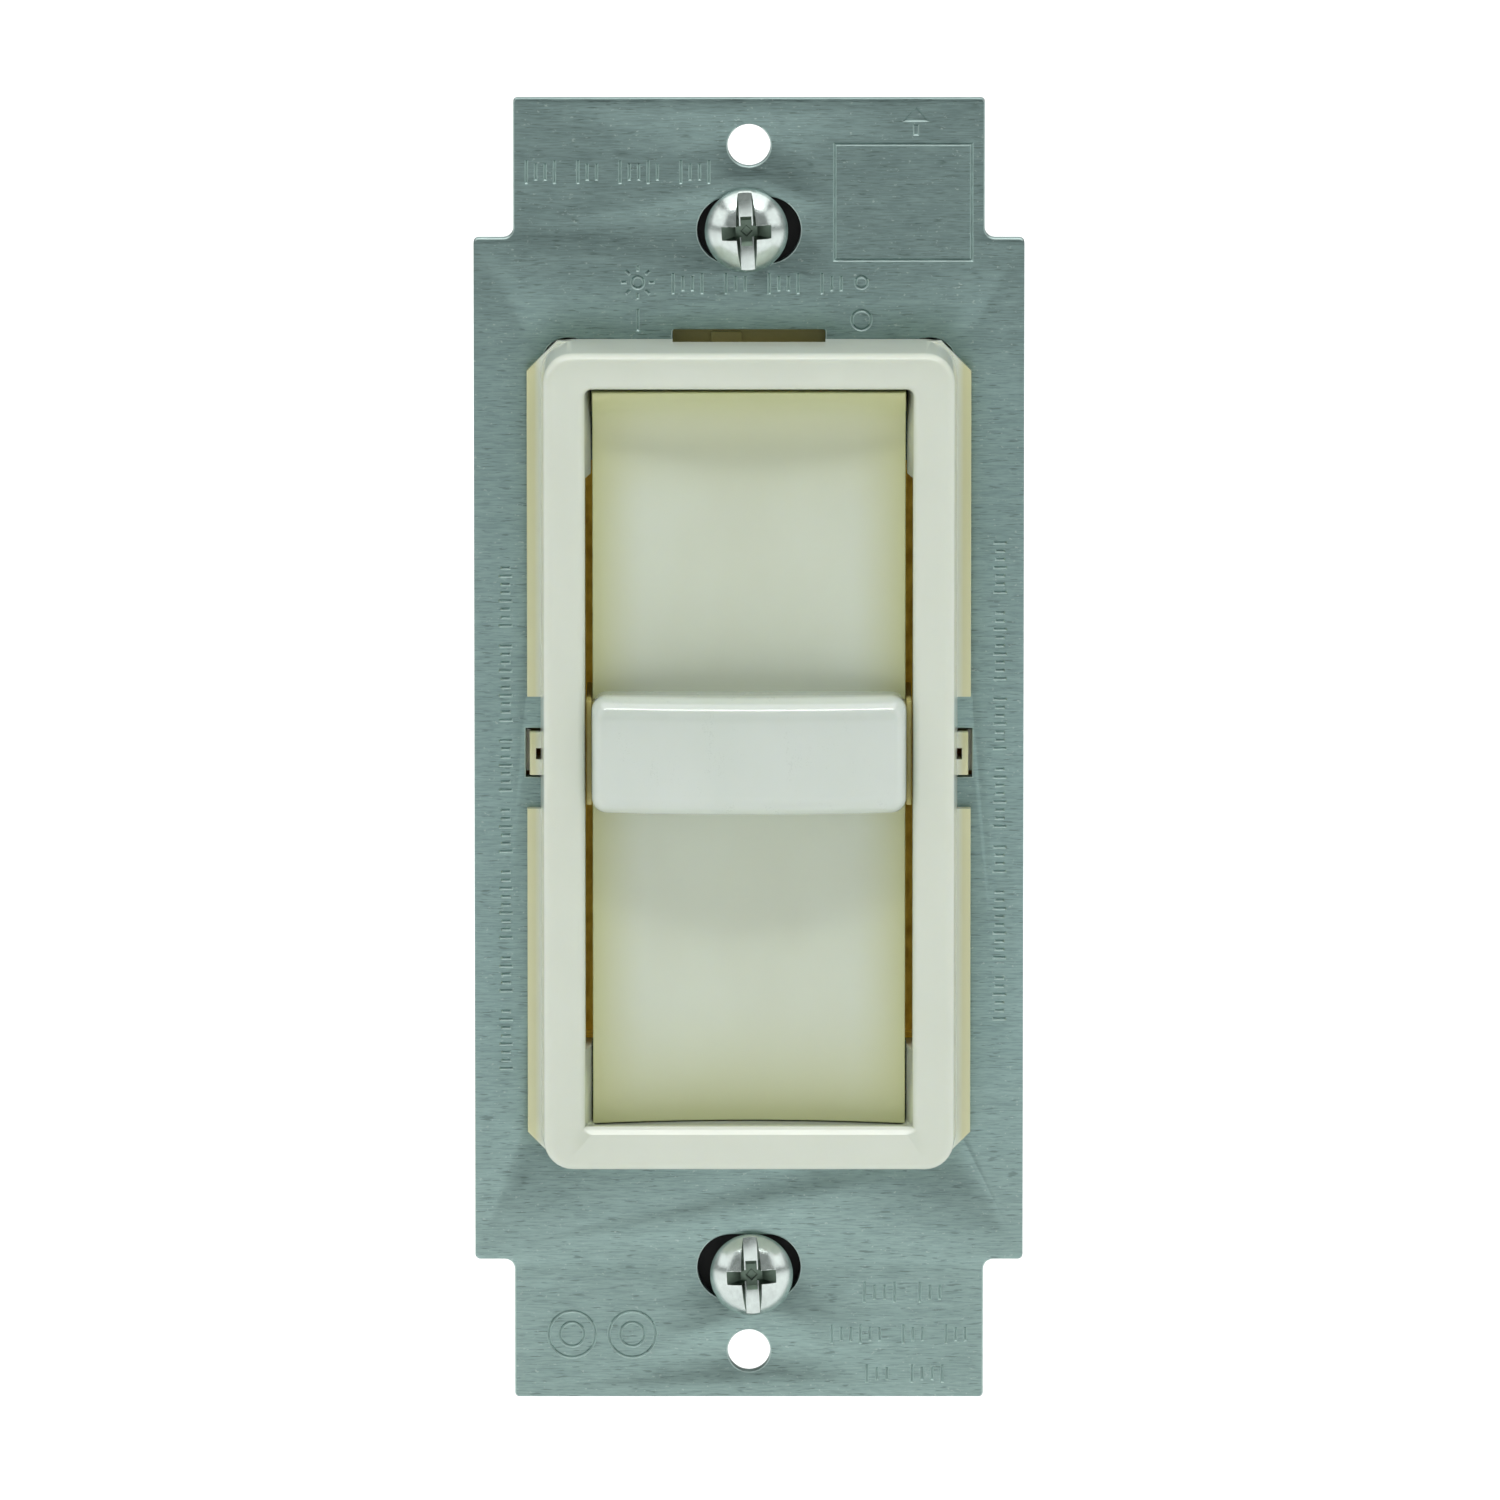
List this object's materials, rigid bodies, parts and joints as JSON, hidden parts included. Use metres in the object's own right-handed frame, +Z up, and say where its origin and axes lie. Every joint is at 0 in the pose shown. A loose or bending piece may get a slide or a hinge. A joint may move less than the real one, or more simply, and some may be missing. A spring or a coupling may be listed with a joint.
{
  "type": "slide dimmer switch",
  "caption": "Wall-box slide dimmer: metal strap with captive screws, raised rectangular bezel, concave push pad, sliding bar and rear housing.",
  "frame": {"origin": "middle of the strap's rear face, midway between the two box screws, where the device meets its wall box", "axes": "+Z up along the strap, +X to the right seen from the front, +Y to the rear into the wall box; the front faces -Y"},
  "size_m": [0.0436, 0.0393, 0.1042],
  "materials": {
    "strap_aluminium": "mill finish, fine grain across",
    "ivory_plastic": "moulded ivory, semi-gloss",
    "pad_plastic": "moulded ivory, semi-gloss",
    "slider_plastic": "moulded light ivory, glossy",
    "spring_bronze": "bright",
    "plated_steel": "bright nickel plate",
    "tinned_metal": "dull tin",
    "board_laminate": "phenolic laminate",
    "black_plastic": "moulded black",
    "lamp_glass": "clear, warm",
    "insulator_sheet": "matt",
    "core_coating": "powder coat",
    "enamelled_wire": "copper wire under enamel",
    "capacitor_red": "dipped",
    "diac_blue": "glass body",
    "housing_plastic": "moulded black, fine texture",
    "fibre": "vulcanised fibre"
  },
  "bodies": {
    "base": {"heat_sink_strap": "strap_aluminium", "bezel_frame": "ivory_plastic", "back_housing": "housing_plastic", "housing_screw_1": "plated_steel", "housing_screw_2": "plated_steel", "housing_screw_3": "plated_steel", "circuit_board": "board_laminate", "pot_case": "plated_steel", "pot_base": "board_laminate", "pot_pin_1": "tinned_metal", "pot_pin_2": "tinned_metal", "pot_pin_3": "tinned_metal", "switch_body": "black_plastic", "switch_spring": "plated_steel", "switch_terminal_1": "tinned_metal", "switch_terminal_2": "tinned_metal", "selector_switch_body": "black_plastic", "locator_lamp": "lamp_glass", "lamp_holder": "black_plastic", "triac_body": "black_plastic", "triac_tab": "tinned_metal", "triac_lead_1": "tinned_metal", "triac_lead_2": "tinned_metal", "triac_lead_3": "tinned_metal", "triac_rivet": "tinned_metal", "insulator_pad": "insulator_sheet", "slot_guard_left": "insulator_sheet", "slot_guard_right": "insulator_sheet", "choke_core": "core_coating", "choke_winding": "enamelled_wire", "film_capacitor_1": "capacitor_red", "film_capacitor_2": "capacitor_red", "diac": "diac_blue", "gate_resistor": "insulator_sheet", "lamp_resistor": "insulator_sheet", "screw_retainer_top": "fibre", "screw_retainer_bottom": "fibre"},
    "slider": {"slider_knob": "slider_plastic", "slider_carriage": "ivory_plastic", "brake_spring": "spring_bronze", "pot_wiper": "black_plastic", "pot_lever": "plated_steel"},
    "paddle": {"push_paddle": "pad_plastic"},
    "plunger": {"switch_plunger": "slider_plastic", "switch_bridge": "spring_bronze"},
    "selector": {"selector_plate": "ivory_plastic", "selector_wiper": "spring_bronze"},
    "upper_box_screw": {"box_screw_top": "plated_steel"},
    "lower_box_screw": {"box_screw_bottom": "plated_steel"}
  },
  "joints": [
    {"name": "slider_travel", "type": "slide", "parent": "base", "child": "slider", "axis": [0, 0, 1], "range_m": [-0.0191, 0.0175]},
    {"name": "paddle_press", "type": "hinge", "parent": "base", "child": "paddle", "pos_m": [0, -0.00225, 0.0282], "axis": [1, 0, 0], "range_deg": [0, 1.2], "stiffness_Nm_per_rad": 3, "springref_deg": -0.57},
    {"name": "plunger_travel", "type": "slide", "parent": "base", "child": "plunger", "axis": [0, 1, 0], "range_m": [0, 0.0014], "deforming": ["switch_spring"]},
    {"name": "selector_travel", "type": "slide", "parent": "base", "child": "selector", "axis": [1, 0, 0], "range_m": [0, 0.0036]},
    {"name": "upper_screw_turn", "type": "hinge", "parent": "base", "child": "upper_box_screw", "pos_m": [-0.0002, -0.00135, 0.04167], "axis": [0, 1, 0], "continuous": true},
    {"name": "lower_screw_turn", "type": "hinge", "parent": "base", "child": "lower_box_screw", "pos_m": [0.0002, -0.00135, -0.0422], "axis": [0, 1, 0], "continuous": true}
  ],
  "couplings": [
    {"joint": "plunger_travel", "follows": "paddle_press", "m_per_rad": 0.0564}
  ]
}
